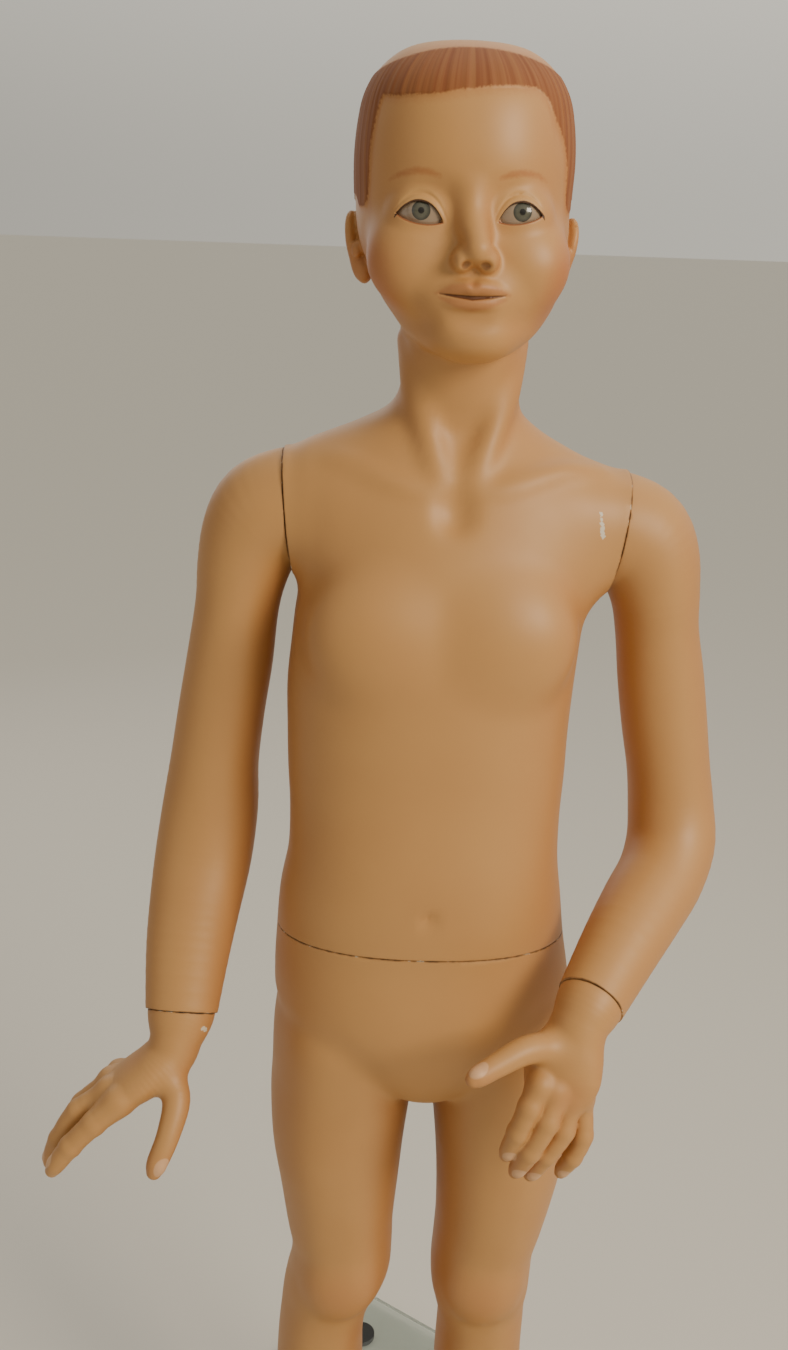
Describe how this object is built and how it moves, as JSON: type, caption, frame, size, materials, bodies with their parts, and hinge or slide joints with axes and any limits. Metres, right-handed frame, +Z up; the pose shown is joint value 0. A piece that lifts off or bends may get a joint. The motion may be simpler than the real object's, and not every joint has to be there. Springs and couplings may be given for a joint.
{
  "type": "full body mannequin",
  "caption": "Child-size full body display mannequin, hollow moulded shells that part at waist, shoulders and wrists, on a square glass base with a calf rod.",
  "frame": {"origin": "point on the floor under the figure, on the underside of the centre pad", "axes": "+Z up, the figure faces -Y, +X towards the figure's left"},
  "size_m": [0.5986, 0.5986, 1.194],
  "materials": {
    "shell_paint": "satin skin-tone paint on a moulded fibreglass shell",
    "fitting_steel": "zinc-plated or bright steel",
    "base_glass": "clear tempered glass with polished edges",
    "base_rubber": "black moulded rubber",
    "closing_board": "bare birch plywood"
  },
  "bodies": {
    "base": {"base_glass": "base_glass", "base_pads": "base_rubber", "base_bolt": "fitting_steel", "base_bolt_washer": "base_rubber", "flange_gasket": "base_rubber", "base_flange": "fitting_steel", "flange_set_screw": "fitting_steel", "support_rod": "fitting_steel"},
    "lower_body": {"lower_shell": "shell_paint", "calf_socket": "fitting_steel", "calf_bulkheads": "closing_board", "lower_waist_board": "closing_board", "lower_waist_plate": "fitting_steel", "lower_waist_screws": "fitting_steel"},
    "waist_post": {"waist_post": "fitting_steel"},
    "torso": {"torso_shell": "shell_paint", "upper_waist_board": "closing_board", "upper_waist_plate": "fitting_steel", "upper_waist_screws": "fitting_steel", "right_shoulder_board": "closing_board", "right_shoulder_plate": "fitting_steel", "right_shoulder_screws": "fitting_steel", "left_shoulder_board": "closing_board", "left_shoulder_plate": "fitting_steel", "left_shoulder_screws": "fitting_steel"},
    "right_arm_peg": {"right_arm_peg": "fitting_steel"},
    "left_arm_peg": {"left_arm_peg": "fitting_steel"},
    "right_arm": {"right_arm_shell": "shell_paint", "right_arm_board": "closing_board", "right_arm_plate": "fitting_steel", "right_arm_screws": "fitting_steel", "right_wrist_board": "closing_board", "right_wrist_plate": "fitting_steel", "right_wrist_screws": "fitting_steel"},
    "left_arm": {"left_arm_shell": "shell_paint", "left_arm_board": "closing_board", "left_arm_plate": "fitting_steel", "left_arm_screws": "fitting_steel", "left_wrist_board": "closing_board", "left_wrist_plate": "fitting_steel", "left_wrist_screws": "fitting_steel"},
    "right_hand_peg": {"right_hand_peg": "fitting_steel"},
    "left_hand_peg": {"left_hand_peg": "fitting_steel"},
    "right_hand": {"right_hand_shell": "shell_paint", "right_hand_plate": "fitting_steel", "right_hand_screws": "fitting_steel"},
    "left_hand": {"left_hand_shell": "shell_paint", "left_hand_plate": "fitting_steel", "left_hand_screws": "fitting_steel"}
  },
  "joints": [
    {"name": "figure_lift", "type": "slide", "parent": "base", "child": "lower_body", "axis": [0, -0.342, 0.9397], "range_m": [0, 0.09]},
    {"name": "waist_lift", "type": "slide", "parent": "lower_body", "child": "waist_post", "axis": [0, 0.1392, 0.9903], "range_m": [0, 0.06]},
    {"name": "waist_turn", "type": "hinge", "parent": "waist_post", "child": "torso", "pos_m": [0, 0, 0.656], "axis": [0, 0.1392, 0.9903], "range_deg": [-15, 15]},
    {"name": "right_arm_pull", "type": "slide", "parent": "torso", "child": "right_arm_peg", "axis": [-0.9962, 0, -0.0872], "range_m": [0, 0.04]},
    {"name": "right_arm_swing", "type": "hinge", "parent": "right_arm_peg", "child": "right_arm", "pos_m": [-0.097, 0.005, 0.933], "axis": [-0.9962, 0, -0.0872], "range_deg": [-30, 60]},
    {"name": "right_hand_pull", "type": "slide", "parent": "right_arm", "child": "right_hand_peg", "axis": [-0.0436, -0.4981, -0.866], "range_m": [0, 0.03]},
    {"name": "right_hand_turn", "type": "hinge", "parent": "right_hand_peg", "child": "right_hand", "pos_m": [-0.161, -0.04, 0.604], "axis": [-0.0436, -0.4981, -0.866], "range_deg": [-40, 40]},
    {"name": "left_arm_pull", "type": "slide", "parent": "torso", "child": "left_arm_peg", "axis": [0.9912, 0, -0.1323], "range_m": [0, 0.04]},
    {"name": "left_arm_swing", "type": "hinge", "parent": "left_arm_peg", "child": "left_arm", "pos_m": [0.104, 0.005, 0.925], "axis": [0.9912, 0, -0.1323], "range_deg": [-40, 0]},
    {"name": "left_hand_pull", "type": "slide", "parent": "left_arm", "child": "left_hand_peg", "axis": [-0.4803, -0.7686, -0.4226], "range_m": [0, 0.03]},
    {"name": "left_hand_turn", "type": "hinge", "parent": "left_hand_peg", "child": "left_hand", "pos_m": [0.097, -0.09, 0.651], "axis": [-0.4803, -0.7686, -0.4226], "range_deg": [-40, 40]}
  ]
}
